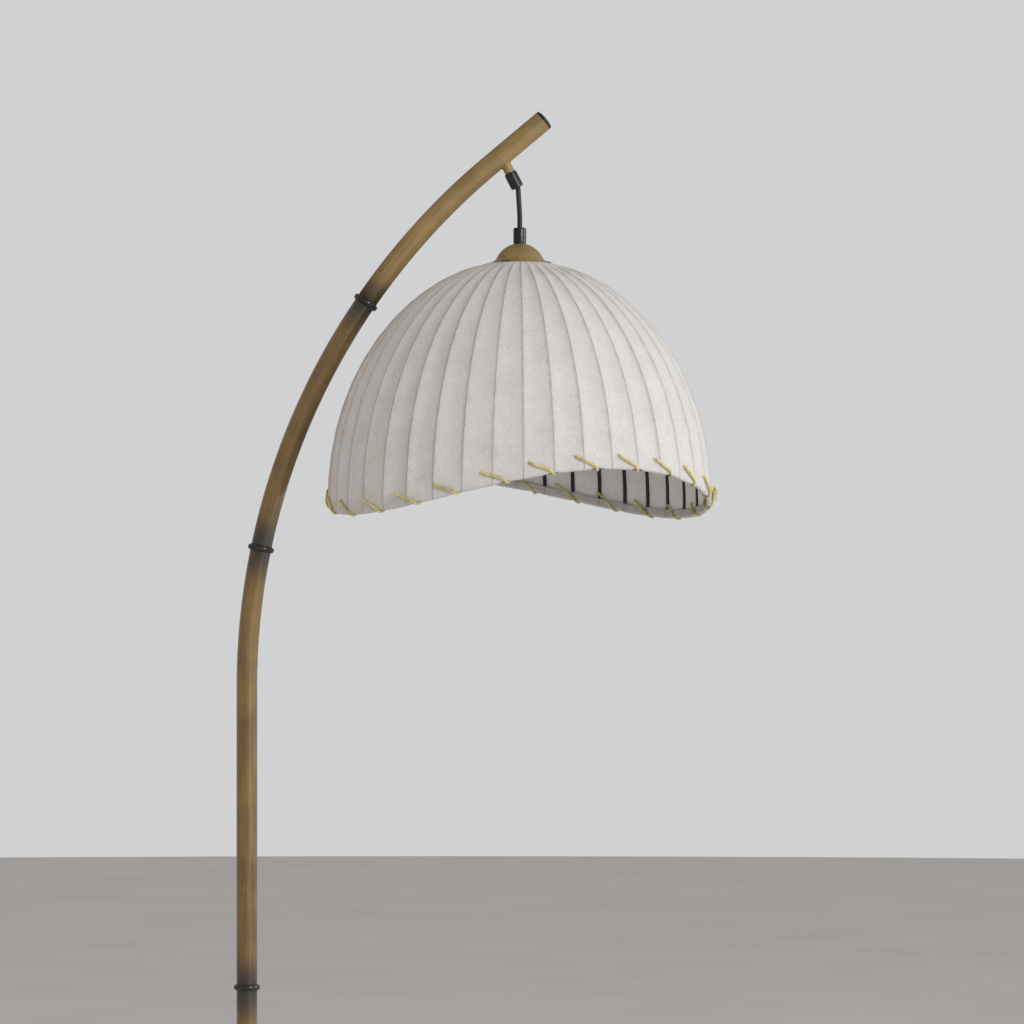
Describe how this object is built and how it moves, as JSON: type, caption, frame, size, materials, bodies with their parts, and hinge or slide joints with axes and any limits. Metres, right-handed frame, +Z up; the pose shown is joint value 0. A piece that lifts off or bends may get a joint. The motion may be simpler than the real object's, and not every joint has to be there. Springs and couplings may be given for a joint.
{
  "type": "arc floor lamp",
  "caption": "Floor lamp: a node-ringed tube arm bends over a round base and hangs a ribbed cloth dome shade with a wavy laced hem on a short cord.",
  "frame": {"origin": "centre of the base's underside, on the pole's axis", "axes": "+Z up, +X the way the arm reaches; the arm lies in the XZ plane"},
  "size_m": [0.7068, 0.4648, 1.7005],
  "materials": {
    "bronze": "satin",
    "bronze_matte": "satin",
    "dark_ring": "satin",
    "black_plastic": "gloss",
    "cord_rubber": "satin",
    "zinc_steel": "satin",
    "cast_stone": "matte",
    "felt": "matte",
    "phenolic": "satin",
    "glazed_ceramic": "gloss",
    "brass": "satin",
    "nickel": "satin",
    "opal_glass": "gloss",
    "white_plastic": "matte",
    "rib_wire": "satin",
    "linen": "matte",
    "thread": "matte"
  },
  "bodies": {
    "stand": {"base_cover": "bronze", "base_pad": "felt", "base_weight": "cast_stone", "base_stud": "zinc_steel", "base_washer": "zinc_steel", "base_nut": "zinc_steel", "foot_collar": "dark_ring", "inlet_bush": "cord_rubber", "foot_plug": "zinc_steel", "pole_foot_section": "bronze", "pole_middle_section": "bronze", "arm_lower_section": "bronze", "arm_upper_section": "bronze", "joint_plugs_below": "zinc_steel", "joint_plugs_above": "zinc_steel", "joint_studs": "zinc_steel", "foot_ring": "dark_ring", "low_ring": "dark_ring", "middle_ring": "dark_ring", "high_ring": "dark_ring", "arm_end_cap": "black_plastic", "arm_stub": "bronze", "stub_nipple": "zinc_steel", "upper_cord_grip": "black_plastic", "upper_grip_screw": "black_plastic", "inner_lead": "cord_rubber"},
    "cord": {"pendant_cord": "cord_rubber"},
    "cord_end": {"lower_cord_grip": "black_plastic", "lower_grip_screw": "black_plastic"},
    "pendant": {"cap_locknut": "zinc_steel", "hem_stitching": "thread", "lampholder_body": "phenolic", "lampholder_cap": "phenolic", "lampholder_contact": "brass", "lampholder_insulator": "glazed_ceramic", "lampholder_lead": "cord_rubber", "lampholder_screw_shell": "brass", "lower_nipple": "zinc_steel", "shade_cap": "bronze_matte", "shade_fabric": "linen", "shade_fitter": "rib_wire", "shade_hem_wire": "rib_wire", "shade_ribs": "rib_wire", "shade_ring": "phenolic", "shade_top_ring": "rib_wire"},
    "bulb_tip": {"bulb_contact": "brass"},
    "bulb": {"bulb_cap": "nickel", "bulb_glass": "opal_glass", "bulb_led_post": "white_plastic"}
  },
  "joints": [
    {"name": "swing_fore_aft", "type": "hinge", "parent": "stand", "child": "cord", "pos_m": [0.32732, 0, 1.604], "axis": [0, 1, 0], "range_deg": [-25, 4]},
    {"name": "swing_sideways", "type": "hinge", "parent": "cord", "child": "cord_end", "pos_m": [0.32732, 0, 1.5644], "axis": [1, 0, 0], "range_deg": [-20, 20]},
    {"name": "shade_twist", "type": "hinge", "parent": "cord_end", "child": "pendant", "pos_m": [0.32732, 0, 1.541], "axis": [0, 0, 1], "range_deg": [-90, 90]},
    {"name": "bulb_travel", "type": "slide", "parent": "pendant", "child": "bulb_tip", "axis": [0, 0, -1], "range_m": [0, 0.0128]},
    {"name": "bulb_turn", "type": "hinge", "parent": "bulb_tip", "child": "bulb", "pos_m": [0.32732, 0, 1.49], "axis": [0, 0, -1], "range_deg": [0, 1260]}
  ],
  "couplings": [
    {"joint": "bulb_travel", "follows": "bulb_turn", "m_per_rad": 0.00057614}
  ]
}
